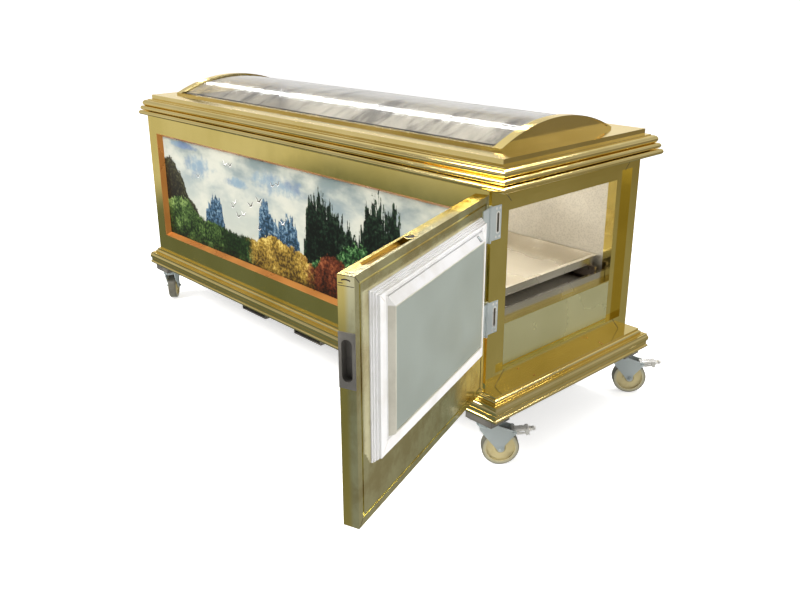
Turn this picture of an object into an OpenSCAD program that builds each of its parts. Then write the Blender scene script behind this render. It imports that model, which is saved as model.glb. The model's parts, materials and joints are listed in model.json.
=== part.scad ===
// Refrigerated funeral casket on four braked casters, in millimetres.
// X runs along the casket with the door end at +X, the door hangs on the -Y side, and Z is up.
// The origin is on the floor under the middle of the cabinet.

/* [Cabinet] */
// Length of the cabinet outline with its door shut, without the mouldings
cabinet_l = 2200; // [1800:10:2700]
// Width of the cabinet outline, without the mouldings
cabinet_w = 814; // [740:2:980]
// Height of the blocks and channels between the casters and the base
block_h = 26; // [20:1:60]
// Height of the base moulding, from its underside to its ledge
base_h = 77; // [72:1:90]
// Height of the walls, from the base's ledge to the cornice's underside
wall_h = 670; // [640:1:900]
// Height of the cornice, from its underside to its flat top
cornice_h = 92; // [84:1:120]
// Thickness of the insulated walls, without the liner
wall_t = 105; // [86:1:128]
// Thickness of the stainless liner's sheet
liner_t = 1.5; // [1:0.5:3]
// Height of the liner's floor, which is also the door opening's sill, above the base's ledge
sill_lift = 204; // [170:1:230]

/* [Door end] */
// Thickness of the door
door_t = 44; // [36:1:56]
// Gap between the shut door and the frame that it closes on, which holds both hinge leaves
door_gap = 4.4; // [4:0.1:6]
// Gap between the door and the ledge below it
door_gap_low = 7; // [4:0.5:12]
// Gap between the door and the cornice above it
door_gap_high = 12; // [4:0.5:20]
// Width of the frame's outer strip, round the rebate
strip_w = 47; // [36:1:60]
// Depth of the rebate that the door's gasket closes into
rebate = 20; // [14:1:30]
// Thickness of the frame round the opening
jamb_t = 35; // [25:1:50]
// Distance that the frame's sides stand inside the liner, on each side of the opening
jamb_lap = 0.5; // [0:0.5:20]
// Height of the door opening above its sill
opening_h = 380; // [330:1:400]
// Angle from shut at which the door stands in this model
door_open = 160; // [0:1:180]

/* [Door plug] */
// Distance from the opening's sides to the gasket's outer edge
gasket_lap = 45; // [25:1:52]
// Distance that the gasket reaches above the opening
gasket_lap_high = 20; // [12:1:34]
// Distance that the gasket reaches below the opening
gasket_lap_low = 46; // [20:1:60]
// Slope of the gasket's outer sides, measured along the door
gasket_bevel = 8; // [2:1:14]
// Gap all round between the foot of the plug and the opening
plug_gap = 8; // [4:1:14]
// Slope of the plug's sides, measured along the door
plug_bevel = 12; // [4:1:20]
// Depth of the plug inside the opening
plug_depth = 16; // [8:1:24]

/* [Picture panels] */
// Width of the stiles at the ends of each long side's picture
stile_w = 72; // [50:1:120]
// Height of the rail above each picture
top_rail_h = 84; // [50:1:120]
// Height of the rail below each picture
low_rail_h = 83; // [50:1:120]
// Depth of the picture's plane behind the wall's face
picture_depth = 25; // [12:1:32]
// Width of the bevelled trim round the picture, seen from in front
trim_w = 15; // [8:1:24]
// Thickness of the picture's sheet
picture_t = 2; // [1:0.5:4]

/* [Top] */
// Distance of the cornice's top lip inside the cabinet outline
lip_inset = 21.5; // [16:0.5:26]
// Thickness of the flat top sheet
deck_t = 2; // [1:0.5:4]
// Distance of the pediments' outer faces from the shut cabinet's ends
pediment_inset = 104; // [70:1:150]
// Thickness of each arched pediment
pediment_t = 36; // [24:1:50]
// Height of the raised curb under the pediments and the clear cover
curb_h = 8; // [4:1:14]
// Distance of the arch's feet inside the cabinet outline, on each side
arch_inset = 111; // [100:1:150]
// Rise of the arch above the curb
arch_rise = 68; // [50:1:90]
// Width of the raised rim round each pediment's face
arch_rim = 9; // [5:1:14]
// Distance that the rim stands proud of the pediment's face
rim_proud = 4; // [2:0.5:6]
// Thickness of the clear cover
cover_t = 5; // [3:0.5:8]
// Distance of the clear cover's arch inside the pediments' arch
cover_drop = 7; // [3:1:12]
// Width of the sheet left round the window under the cover
window_margin = 26; // [16:1:40]

/* [Tray] */
// Height of the tray's floor above the liner's floor
tray_lift = 55; // [50:1:80]
// Depth of the tray's dish
tray_depth = 35; // [25:1:60]
// Thickness of the tray's sheet
tray_t = 1.5; // [1:0.5:3]
// Width of the turned-out rim on top of the tray's sides
tray_rim = 14; // [8:1:18]
// Gap between the tray's rim and the door opening on each side
tray_side_gap = 5.5; // [3:0.5:12]
// Distance of the tray's end from the door opening's rebate
tray_end_gap = 48; // [42:1:70]
// Gap between the tray's inner end and the liner's end
tray_foot_gap = 12; // [5:1:30]
// Distance of each runner's middle from the tray's edge
runner_inset = 32; // [26:1:60]
// Width of the fixed rail's rib
rib_w = 12; // [8:1:16]
// Thickness of the runner's sheet
runner_t = 3; // [2:0.5:4]
// Sideways gap between rib and runner
runner_gap = 2; // [1:0.5:4]
// Height of the channel across the opening's sill
sill_h = 36; // [20:1:36]
// Width of that channel, front to back
sill_l = 14; // [8:1:15]

/* [Casters] */
// Diameter of the wheels
wheel_d = 125; // [100:1:150]
// Width of the wheels' treads
wheel_w = 36; // [28:1:44]
// Gap between the top of the wheels and the crown of their forks
crown_gap = 18.7; // [8:0.1:30]
// Distance from the swivel axis to the axle
trail = 45; // [36:1:52]
// Distance of the swivel axes inside the cabinet's ends
caster_inset_x = 45; // [15:1:80]
// Distance of the swivel axes inside the cabinet's sides
caster_inset_y = 20; // [5:1:60]
// Direction of the trailing wheels, door end left, door end right, foot end left, foot end right
caster_turn = [48, 42, 140, 104];

/* [Hidden] */
$fn = 48;
FINE = 96;
EPS = 0.01;
RUN = 0.3;            // running clearance between bodies
PIN_RUN = 0.05;       // radial clearance of a pin in its bore
SNUG = 0.2;           // clearance of a let-in piece

// Caster heights, from the floor up
wheel_r = wheel_d / 2;
mount_t = 4;
race_t = 11;
crown_t = 6;
crown_z = wheel_d + crown_gap;             // underside of the fork's crown
race_z = crown_z + crown_t + RUN;          // underside of the fixed race
caster_h = race_z + race_t + mount_t;      // top of the casters' plates

// Cabinet outline and heights
half_l = cabinet_l / 2;
half_w = cabinet_w / 2;
plate_t = 4;                               // of the underframe's plate
under_z = caster_h + block_h;              // underside of that plate
base_low_z = under_z + plate_t;
ledge_z = base_low_z + base_h;
wall_top_z = ledge_z + wall_h;
deck_z = wall_top_z + cornice_h;
curb_z = deck_z + curb_h;
sill_z = ledge_z + sill_lift;
opening_top_z = sill_z + opening_h;
step_w = 45;          // how far each moulding reaches in under or over the wall

// Liner
liner_y = half_w - wall_t;                 // outer face of the liner's sides
liner_x = -(half_l - wall_t);              // outer face of the liner's foot end
in_y = liner_y - liner_t;

// Door end, from the shut door's face inwards
frame_x = half_l - door_t + 2;             // face of the outer strip
rebate_x = frame_x - rebate;               // floor of the rebate
mouth_x = rebate_x - jamb_t;               // inner edge of the jamb, where the liner starts
strip_y = half_w - strip_w;                // inner edge of the outer strip
rebate_low_z = ledge_z + 50;
rebate_top_z = wall_top_z - strip_w;
open_y = in_y - jamb_lap;
panel_t = 1.5;                             // sheets of the end panel and the plug's face
panel_y = open_y - 1;
panel_z0 = rebate_low_z + 3;
panel_z1 = sill_z - 4;
door_x = frame_x + door_gap;               // the shut door's inner face
door_y = half_w + 1;                       // the shut door's side edges
door_z0 = ledge_z + door_gap_low;
door_z1 = wall_top_z - door_gap_high;

// Hinges
leaf_t = 2;
leaf_h = 108;
leaf_w = strip_w - 2;
knuckle_r = 6;
pin_r = 3;
hinge_x = frame_x + door_gap / 2;
hinge_y = -(door_y + knuckle_r + 2);
hinge_z = [door_z0 + 246, door_z0 + 557];  // middles of the two hinges
knuckle_n = 5;

// Tray
tray_y = open_y - tray_side_gap;           // edge of the rim
tray_x1 = rebate_x - tray_end_gap;
tray_x0 = liner_x + liner_t + tray_foot_gap;
tray_z = sill_z + liner_t + tray_lift;     // underside of the tray's floor
dish_y = tray_y - tray_rim;
runner_y = tray_y - runner_inset;
runner_w = rib_w + 2 * (runner_gap + runner_t);
runner_low_z = sill_z + sill_h + 2;
rib_top_z = tray_z - runner_t - RUN;

// Picture recess
pic_x = half_l - stile_w;
pic_z0 = ledge_z + low_rail_h;
pic_z1 = wall_top_z - top_rail_h;
pic_y = half_w - picture_depth;

// Arch of the pediments and cover
arch_w = cabinet_w - 2 * arch_inset;       // where it meets the curb
arch_r = (pow(arch_w / 2, 2) + pow(arch_rise, 2)) / (2 * arch_rise);
ped_x = half_l - pediment_inset;
cover_x = ped_x - pediment_t;

// Window under the cover
window_x = cover_x - window_margin;
window_y = arch_w / 2 - window_margin;

// Foot end: the vent's recess behind its louvre, and the mains inlet beside it
vent_y = 150;
vent_z0 = ledge_z + 48;
vent_z1 = sill_z - 24;
inlet_y = 225;
inlet_z = (vent_z0 + vent_z1) / 2;
slat_n = 9;

// Door
pocket_y0 = hinge_y + 482;
pocket_l = 268;
pocket_w = 26;
pocket_depth = 18;
pull_z = door_z0 + 445;
pull_h = 140;
pull_slot_h = 106;
pull_slot_w = 28;
pull_depth = 20;
pull_t = 3;
groove_in = 20;       // of the inner face's groove from the door's edges
groove_w = 6;
groove_depth = 5;

gasket_x = rebate_x + RUN;
gasket_t = door_x - gasket_x;
gasket_y = open_y + gasket_lap;
gasket_z0 = sill_z - gasket_lap_low;
gasket_z1 = opening_top_z + gasket_lap_high;
plug_y = open_y - plug_gap;
plug_z0 = sill_z + sill_h - 22;
plug_z1 = opening_top_z - plug_gap;

// Underframe
plate_inset = 9;      // of the underframe's plate inside the moulding's lowest bead
base_out = 40;        // how far the base moulding stands out at its widest
channel_x = [-253, 128];
channel_w = 176;
channel_wall = 4;
channel_end_y = half_w + 18;
block_l = 112;
block_w = 92;

// Casters
caster_x = half_l - caster_inset_x;
caster_y = half_w - caster_inset_y;
caster_at = [[caster_x, -caster_y], [caster_x, caster_y],
             [-caster_x, -caster_y], [-caster_x, caster_y]];
mount_l = 104;
mount_w = 84;
race_r = 33;
king_r = 6;
axle_r = 6;
hub_w = wheel_w + 4;
leg_t = 4;
leg_gap = 1.5;                             // between hub and leg
leg_y = hub_w / 2 + leg_gap;
pedal_out = wheel_r + 10.74;               // the pedal's pin, from the axle
pedal_angle = 55;                          // of the line to it, above the level
pedal_x = trail + pedal_out * cos(pedal_angle);
pedal_z = wheel_r + pedal_out * sin(pedal_angle);
pedal_pin_r = 3.5;

// ---- Helpers ----

// A box between two corners
module block(low, high) {
    translate(low) cube(high - low);
}

// A profile drawn as [across, up], swept along X from x0 to x1 with its across axis along -Y
module sweep_x(x0, x1) {
    translate([x0, 0, 0]) rotate([90, 0, 90]) linear_extrude(x1 - x0) mirror([1, 0]) children();
}

// One mitred length of a moulding that runs round the cabinet: side 0 faces -Y, 1 +X, 2 +Y, 3 -X.
// The child is the profile, drawn as [out from the outline, up].
module mitred(side, z0, z1, out) {
    turned = side % 2 == 1;
    run = turned ? half_w : half_l;
    off = turned ? half_l : half_w;
    far = run + out;
    rotate([0, 0, side * 90]) intersection() {
        translate([0, -off, 0]) sweep_x(-far, far) children();
        translate([0, 0, z0]) linear_extrude(z1 - z0)
            polygon([[-far, -off - out], [far, -off - out],
                [run - step_w, -off + step_w], [step_w - run, -off + step_w]]);
    }
}

// A block along -X whose four sides slope in by the same amount, from x = 0 to x = -t
module tapered(y, z0, z1, t, slope) {
    intersection() {
        translate([0, 0, z0]) linear_extrude(z1 - z0)
            polygon([[0, -y], [0, y], [-t, y - slope], [-t, slope - y]]);
        translate([0, y, 0]) rotate([90, 0, 0]) linear_extrude(2 * y)
            polygon([[0, z0], [0, z1], [-t, z1 - slope], [-t, z0 + slope]]);
    }
}

// A segment of a circle on a flat chord, drawn as [across, up] with its chord on y = 0
module arch(inset) {
    intersection() {
        translate([0, arch_rise - arch_r]) circle(r = arch_r - inset, $fn = 2 * FINE);
        translate([-arch_w / 2, 0]) square([arch_w, arch_rise]);
    }
}

// Everything on the door is drawn shut and then swung about the hinges
module swing() {
    translate([hinge_x, hinge_y, 0]) rotate([0, 0, -door_open])
        translate([-hinge_x, -hinge_y, 0]) children();
}

// Everything on a caster is drawn with its swivel axis at x = y = 0, trailing along +X
module at_caster(i, turn = 0) {
    translate([caster_at[i][0], caster_at[i][1], 0]) rotate([0, 0, turn]) children();
}

// ---- Mouldings ----

// A round bead that stands out to the given distance
module bead(out, low, high) {
    r = (high - low) / 2;
    translate([out - r, low + r]) circle(r);
    translate([-step_w, low]) square([step_w + out - r, high - low]);
}

// The base: a flat ledge and lip, a small bead, a large one, a cove and a foot bead
module base_profile() {
    difference() {
        union() {
            translate([-step_w, base_low_z]) square([step_w + base_out - 5, base_h - 20]);
            bead(10.5, ledge_z - 9, ledge_z);
            bead(18, ledge_z - 23, ledge_z - 8);
            bead(base_out, ledge_z - 58, ledge_z - 22);
            bead(base_out, base_low_z, base_low_z + 12);
        }
        translate([base_out + 3, base_low_z + 15.5]) circle(7);
        translate([base_out - 12, ledge_z - 22]) square([20, 10]);
    }
    translate([-step_w, ledge_z - 30]) square([step_w + 8, 29]);
    translate([-step_w, ledge_z - 9]) square([step_w + 10.5, 9]);
}

// The cornice: a fascia with a shelf below it, then three beads, each standing further out
module cornice_profile() {
    translate([-step_w, wall_top_z]) square([step_w - lip_inset, cornice_h - deck_t]);
    translate([-step_w, wall_top_z]) square([step_w - 6, cornice_h - 20]);
    bead(13, deck_z - 52, deck_z - 24);
    bead(22, deck_z - 70, deck_z - 51);
    bead(29, wall_top_z, wall_top_z + 20);
    translate([-step_w, wall_top_z]) square([step_w + 19, 2]);
}

module base_moulding(side) {
    color("darkgoldenrod") mitred(side, base_low_z, ledge_z, base_out) base_profile();
}

module cornice(side) {
    color("goldenrod") mitred(side, wall_top_z, deck_z - deck_t, base_out) cornice_profile();
}

// ---- Underframe ----

// One welded frame: a plate, a block at each corner and two open channels across
module underframe() {
    x = half_l + base_out - plate_inset;
    y = half_w + base_out - plate_inset;
    color("dimgray") {
        block([-x, -y, under_z], [x, y, base_low_z]);
        for (at = caster_at)
            block([at[0] - block_l / 2, at[1] - block_w / 2, caster_h],
                  [at[0] + block_l / 2, at[1] + block_w / 2, under_z + EPS]);
        for (cx = channel_x) difference() {
            block([cx - channel_w / 2, -channel_end_y, caster_h],
                  [cx + channel_w / 2, channel_end_y, under_z + EPS]);
            block([cx - channel_w / 2 + channel_wall, -channel_end_y - 1, caster_h + channel_wall],
                  [cx + channel_w / 2 - channel_wall, channel_end_y + 1, under_z]);
        }
    }
}

// ---- Walls ----

// A long side: insulated panel with the picture's recess, stepped back behind the door frame
module long_wall(s) {
    color("olivedrab") scale([1, s, 1]) difference() {
        union() {
            block([-half_l, -half_w, ledge_z], [mouth_x, -liner_y, wall_top_z]);
            block([mouth_x - EPS, -half_w, ledge_z], [frame_x, -strip_y, wall_top_z]);
        }
        block([-pic_x, -half_w - 1, pic_z0], [pic_x, -pic_y, pic_z1]);
    }
}

// The foot end: insulated panel between the long sides, with a shallow plain field
module foot_wall() {
    field_y = liner_y - 60;
    color("olivedrab") difference() {
        block([-half_l, -liner_y, ledge_z], [liner_x, liner_y, wall_top_z]);
        block([-half_l - 1, -field_y, sill_z + 60], [-half_l + 6, field_y, wall_top_z - 70]);
        block([-half_l - 1, -vent_y, vent_z0], [-half_l + 12, vent_y, vent_z1]);
        block([-half_l - 1, inlet_y - 24, inlet_z - 16], [-half_l + 40, inlet_y + 24, inlet_z + 16]);
    }
}

// Louvre over the vent's shallow recess
module service_louvre() {
    t = 1.5;
    lap = 10;
    pitch = (vent_z1 - vent_z0 - 12) / slat_n;
    color("darkkhaki") difference() {
        block([-half_l - t, -vent_y - lap, vent_z0 - lap], [-half_l, vent_y + lap, vent_z1 + lap]);
        for (i = [0 : slat_n - 1])
            block([-half_l - t - 1, -vent_y + 8, vent_z0 + 8 + i * pitch],
                  [-half_l + 1, vent_y - 8, vent_z0 + 8 + (i + 0.5) * pitch]);
    }
}

// Recessed mains inlet with three blades
module power_inlet() {
    flange_t = 2;
    color("black") {
        difference() {
            union() {
                block([-half_l - flange_t, inlet_y - 30, inlet_z - 20],
                      [-half_l, inlet_y + 30, inlet_z + 20]);
                block([-half_l - EPS, inlet_y - 23.5, inlet_z - 15.5],
                      [-half_l + 30, inlet_y + 23.5, inlet_z + 15.5]);
            }
            block([-half_l - flange_t - 1, inlet_y - 12, inlet_z - 8],
                  [-half_l + 20, inlet_y + 12, inlet_z + 8]);
        }
        for (k = [-1 : 1])
            block([-half_l + 4, inlet_y + k * 7 - 1, inlet_z - 2],
                  [-half_l + 20 + EPS, inlet_y + k * 7 + 1, inlet_z + 2]);
    }
}

// The door end's frame: a rebate inside the outer strip, and the opening inside that
module door_frame() {
    color("olive") difference() {
        block([mouth_x, -strip_y, ledge_z], [frame_x, strip_y, wall_top_z]);
        block([rebate_x, -strip_y - 1, rebate_low_z], [frame_x + 1, strip_y + 1, rebate_top_z]);
        block([mouth_x - 1, -open_y, sill_z], [rebate_x + 1, open_y, opening_top_z]);
        block([rebate_x - panel_t, -panel_y - SNUG, panel_z0 - SNUG],
              [rebate_x + 1, panel_y + SNUG, panel_z1 + SNUG]);
    }
}

// Sheet let in flush over the machine space, below the opening
module low_end_panel() {
    color("darkseagreen")
        block([rebate_x - panel_t, -panel_y, panel_z0], [rebate_x, panel_y, panel_z1]);
}

// Stainless liner: floor, two sides, foot end and a header over the door, open to the window above
module liner() {
    color("silver") difference() {
        block([liner_x, -liner_y, sill_z], [mouth_x, liner_y, deck_z - deck_t]);
        block([liner_x + liner_t, -in_y, sill_z + liner_t], [mouth_x - liner_t, in_y, deck_z]);
        block([liner_x + liner_t, -in_y, sill_z + liner_t], [mouth_x + 1, in_y, opening_top_z]);
    }
}

// Folded channel that lies across the sill of the opening
module sill_channel() {
    t = 2;
    y = open_y - 2;
    x0 = mouth_x + 1;
    color("gainsboro") difference() {
        block([x0, -y, sill_z], [x0 + sill_l, y, sill_z + sill_h]);
        block([x0 + t, -y - 1, sill_z - 1], [x0 + sill_l - t, y + 1, sill_z + sill_h - t]);
    }
}

// ---- Pictures ----

module picture(s) {
    color("skyblue") scale([1, s, 1])
        block([-pic_x, -pic_y - picture_t, pic_z0], [pic_x - EPS, -pic_y, pic_z1]);
}

// Bevelled trim round the picture, as four mitred sides in one ring
module trim(s) {
    t = picture_depth - picture_t;
    color("peru") scale([1, s, 1]) difference() {
        block([-pic_x, -half_w, pic_z0], [pic_x, -pic_y - picture_t, pic_z1]);
        intersection() {
            translate([0, 0, pic_z0 - 1]) linear_extrude(pic_z1 - pic_z0 + 2) polygon([
                [-pic_x + 1, -half_w - EPS], [pic_x - 1, -half_w - EPS],
                [pic_x - trim_w, t - half_w + EPS], [trim_w - pic_x, t - half_w + EPS]]);
            rotate([90, 0, 90]) translate([0, 0, -pic_x - 1]) linear_extrude(2 * pic_x + 2) polygon([
                [-half_w - EPS, pic_z0 + 1], [-half_w - EPS, pic_z1 - 1],
                [t - half_w + EPS, pic_z1 - trim_w], [t - half_w + EPS, pic_z0 + trim_w]]);
        }
    }
}

// ---- Top ----

// Flat top sheet with a raised curb that carries the pediments and the cover, round the window
// through which the tray is seen
module top_deck() {
    x = half_l - lip_inset;
    y = half_w - lip_inset;
    color("gold") difference() {
        union() {
            block([-x, -y, deck_z - deck_t], [x, y, deck_z]);
            block([-ped_x - 1, -arch_w / 2 - 1, deck_z - EPS], [ped_x + 1, arch_w / 2 + 1, curb_z]);
        }
        block([-window_x, -window_y, deck_z - deck_t - 1], [window_x, window_y, curb_z + 1]);
    }
}

// Arched end piece with a raised rim on its outer face, for the +X end when s is 1
module pediment(s) {
    color("goldenrod") scale([s, 1, 1]) translate([0, 0, curb_z]) difference() {
        translate([cover_x, 0, 0]) rotate([90, 0, 90]) linear_extrude(pediment_t) arch(0);
        translate([ped_x - rim_proud, 0, arch_rim / 2]) rotate([90, 0, 90])
            linear_extrude(rim_proud + 1) intersection() {
                arch(arch_rim);
                translate([-arch_w / 2, 0]) square([arch_w, arch_rise - 1.5 * arch_rim]);
            }
    }
}

// Clear arched cover between the pediments
module clear_cover() {
    color("lightcyan", 0.4) translate([-cover_x, 0, curb_z]) rotate([90, 0, 90])
        linear_extrude(2 * cover_x) difference() {
            arch(cover_drop);
            arch(cover_drop + cover_t);
        }
}

// ---- Tray ----

// Dished tray with a turned-out rim
module tray() {
    top = tray_z + tray_t + tray_depth;
    color("lightgray") difference() {
        union() {
            block([tray_x0 + tray_rim, -dish_y, tray_z], [tray_x1 - tray_rim, dish_y, top]);
            block([tray_x0, -tray_y, top - tray_t], [tray_x1, tray_y, top]);
        }
        block([tray_x0 + tray_rim + tray_t, -dish_y + tray_t, tray_z + tray_t],
              [tray_x1 - tray_rim - tray_t, dish_y - tray_t, top + 1]);
    }
}

// Fixed rail: a foot on the liner's floor and a rib that the runner straddles
module rail(s) {
    x0 = tray_x0 + tray_rim;
    foot_w = rib_w + 28;
    foot_z = sill_z + liner_t;
    color("mistyrose") {
        block([x0, s * runner_y - foot_w / 2, foot_z], [mouth_x - 2, s * runner_y + foot_w / 2, foot_z + 3]);
        block([x0, s * runner_y - rib_w / 2, foot_z], [mouth_x - 2, s * runner_y + rib_w / 2, rib_top_z]);
    }
}

// Runner under the tray, an inverted channel round the rib
module runner(s) {
    x0 = tray_x0 + tray_rim;
    color("lightslategray") translate([0, s * runner_y, 0]) difference() {
        block([x0, -runner_w / 2, runner_low_z], [tray_x1 - tray_rim, runner_w / 2, tray_z]);
        block([x0 - 1, runner_t - runner_w / 2, runner_low_z - 1],
              [tray_x1, runner_w / 2 - runner_t, tray_z - runner_t]);
    }
}

// ---- Door ----

// An upright stadium drawn as [across, up] round the origin
module stadium(w, h) {
    square([w, h - w], center = true);
    for (s = [-1, 1]) translate([0, s * (h - w) / 2]) circle(w / 2);
}

// Pocket in the door's top edge, with blunt ends
module top_pocket() {
    c = pocket_w / 2;
    mid = door_x + door_t / 2;
    translate([0, 0, door_z1 - pocket_depth]) linear_extrude(pocket_depth + 1) polygon([
        [mid - c, pocket_y0 + c], [mid, pocket_y0], [mid + c, pocket_y0 + c],
        [mid + c, pocket_y0 + pocket_l - c], [mid, pocket_y0 + pocket_l],
        [mid - c, pocket_y0 + pocket_l - c]]);
}

module door_shell() {
    color("gold") swing() difference() {
        block([door_x, -door_y, door_z0], [door_x + door_t, door_y, door_z1]);
        top_pocket();
        difference() {
            block([door_x - 1, groove_in - door_y, door_z0 + groove_in],
                  [door_x + groove_depth, door_y - groove_in, door_z1 - groove_in]);
            block([door_x - 2, groove_in + groove_w - door_y, door_z0 + groove_in + groove_w],
                  [door_x + groove_depth + 1, door_y - groove_in - groove_w,
                   door_z1 - groove_in - groove_w]);
        }
        translate([door_x + door_t / 2, door_y + 1, pull_z]) rotate([90, 0, 0])
            linear_extrude(pull_depth + 3 + SNUG)
                stadium(pull_slot_w + 4 + 2 * SNUG, pull_slot_h + 4 + 2 * SNUG);
    }
}

// White seal that closes into the rebate, a frame with sloped outer sides
module door_gasket() {
    color("white") swing() difference() {
        translate([door_x, 0, 0]) tapered(gasket_y, gasket_z0, gasket_z1, gasket_t, gasket_bevel);
        block([door_x - gasket_t - 1, -plug_y, plug_z0], [door_x + 1, plug_y, plug_z1]);
    }
}

// Insulated plug that enters the opening
module door_plug() {
    color("linen") swing() {
        block([door_x - gasket_t, -plug_y, plug_z0], [door_x, plug_y, plug_z1]);
        translate([door_x - gasket_t + EPS, 0, 0])
            tapered(plug_y, plug_z0, plug_z1, plug_depth, plug_bevel);
    }
}

// Sheet on the plug's face
module plug_panel() {
    inset = plug_bevel + 8;
    x = door_x - gasket_t - plug_depth + EPS;
    color("darkseagreen") swing()
        block([x - panel_t, inset - plug_y, plug_z0 + inset], [x, plug_y - inset, plug_z1 - inset]);
}

// Dark pull let into the door's free edge, a plate with a cup behind its slot
module flush_pull() {
    wall = 2;
    color("dimgray") swing() translate([door_x + door_t / 2, door_y, pull_z]) rotate([90, 0, 0])
        difference() {
            union() {
                translate([-door_t / 2, -pull_h / 2, -pull_t]) cube([door_t, pull_h, pull_t]);
                translate([0, 0, -EPS]) linear_extrude(pull_depth + wall)
                    stadium(pull_slot_w + 2 * wall, pull_slot_h + 2 * wall);
            }
            translate([0, 0, -pull_t - 1]) linear_extrude(pull_depth + pull_t + 1)
                stadium(pull_slot_w, pull_slot_h);
        }
}

// ---- Hinges ----

// The knuckles of one leaf: even ones belong to the frame, odd ones to the door
module knuckles(z, first) {
    pitch = leaf_h / knuckle_n;
    for (i = [first : 2 : knuckle_n - 1])
        translate([hinge_x, hinge_y, z - leaf_h / 2 + i * pitch + RUN / 2]) difference() {
            cylinder(r = knuckle_r, h = pitch - RUN);
            translate([0, 0, -1]) cylinder(r = first == 0 ? pin_r - 1 : pin_r + PIN_RUN, h = pitch + 2);
        }
}

// A web from the knuckles to the leaf, cut away where the other leaf's knuckles turn
module leaf(z, first, low_x, high_x) {
    pitch = leaf_h / knuckle_n;
    difference() {
        block([low_x, hinge_y, z - leaf_h / 2 + RUN / 2],
              [high_x, leaf_w - half_w, z + leaf_h / 2 - RUN / 2]);
        translate([hinge_x, hinge_y, z - leaf_h / 2 - 1]) cylinder(r = knuckle_r - 1, h = leaf_h + 2);
        for (i = [1 - first : 2 : knuckle_n - 1])
            translate([hinge_x, hinge_y, z - leaf_h / 2 + i * pitch - RUN / 2])
                cylinder(r = knuckle_r + 1, h = pitch + RUN);
    }
}

// Fixed leaf with its knuckles and the hinge pin
module hinge_fixed(z) {
    color("lightsteelblue") {
        knuckles(z, 0);
        translate([hinge_x, hinge_y, z - leaf_h / 2 - 2]) cylinder(r = pin_r, h = leaf_h + 4);
        leaf(z, 0, frame_x, frame_x + leaf_t);
    }
}

module hinge_door(z) {
    color("lightsteelblue") swing() {
        knuckles(z, 1);
        leaf(z, 1, door_x - leaf_t, door_x);
    }
}

// ---- Casters ----

// Plate, fixed race and king pin
module caster_mount(i) {
    color("lightslategray") at_caster(i) {
        block([-mount_l / 2, -mount_w / 2, caster_h - mount_t], [mount_l / 2, mount_w / 2, caster_h]);
        translate([0, 0, race_z]) cylinder(r = race_r, h = caster_h - mount_t - race_z + EPS);
        translate([0, 0, crown_z - RUN]) cylinder(r = king_r, h = race_z - crown_z + RUN + 1);
        translate([0, 0, crown_z - RUN - 7]) cylinder(r = king_r + 4, h = 7);
    }
}

// One leg of the fork, drawn as [along the trail, up], with an ear for the pedal's pin
module leg_outline() {
    polygon([[-race_r + 4, crown_z + crown_t], [race_r - 2, crown_z + crown_t],
        [pedal_x - 6, pedal_z + 9], [pedal_x + 3, pedal_z + 7], [pedal_x + 5, pedal_z - 6],
        [trail + 13, wheel_r + 14], [trail + 11, wheel_r - 4], [trail - 11, wheel_r - 4],
        [-race_r + 6, crown_z - 10]]);
    translate([trail, wheel_r]) circle(12);
    translate([pedal_x, pedal_z]) circle(9);
}

// Swivelling fork with its axle and the pedal's pin
module fork(i) {
    width = 2 * (leg_y + leg_t);
    color("lightsteelblue") at_caster(i, caster_turn[i]) {
        difference() {
            union() {
                translate([0, 0, crown_z]) cylinder(r = race_r, h = crown_t);
                for (s = [-1, 1])
                    translate([0, s * (leg_y + leg_t / 2) + leg_t / 2, 0]) rotate([90, 0, 0])
                        linear_extrude(leg_t) leg_outline();
            }
            translate([0, 0, crown_z - 1]) cylinder(r = king_r + PIN_RUN, h = crown_t + 2);
        }
        translate([trail, width / 2 + 3, wheel_r]) rotate([90, 0, 0]) cylinder(r = axle_r, h = width + 6);
        translate([pedal_x, width / 2, pedal_z]) rotate([90, 0, 0]) cylinder(r = pedal_pin_r, h = width);
    }
}

// Nylon wheel: tread, a recessed ring on each face and a hub bored for the axle
module wheel(i) {
    w = wheel_w / 2;
    color("cornsilk") at_caster(i, caster_turn[i]) translate([trail, 0, wheel_r])
        rotate([90, 0, 0]) rotate_extrude($fn = FINE) difference() {
            union() {
                translate([axle_r + PIN_RUN, -w]) square([wheel_r - axle_r - PIN_RUN - 4, 2 * w]);
                translate([axle_r + PIN_RUN, 4 - w]) square([wheel_r - axle_r - PIN_RUN, 2 * w - 8]);
                translate([axle_r + PIN_RUN, -hub_w / 2]) square([10, hub_w]);
                for (s = [-1, 1]) translate([wheel_r - 4, s * (w - 4)]) circle(4);
            }
            for (s = [-1, 1]) translate([24, s * w - 6]) square([24, 12]);
        }
}

// Brake pedal: a boss on its pin, an arm out over the wheel and a round toe
module pedal(i) {
    reach = 46;
    boss_w = 2 * leg_y - 2 * RUN;
    color("whitesmoke") at_caster(i, caster_turn[i]) translate([pedal_x, 0, pedal_z]) {
        difference() {
            union() {
                translate([0, boss_w / 2, 0]) rotate([90, 0, 0]) cylinder(r = 7, h = boss_w);
                block([0, -13, 1], [reach, 13, 6]);
            }
            translate([0, boss_w, 0]) rotate([90, 0, 0])
                cylinder(r = pedal_pin_r + PIN_RUN, h = 2 * boss_w);
        }
        translate([reach, 17, 3]) rotate([90, 0, 0]) cylinder(r = 8, h = 34);
    }
}

// ---- Nodes ----

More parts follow.
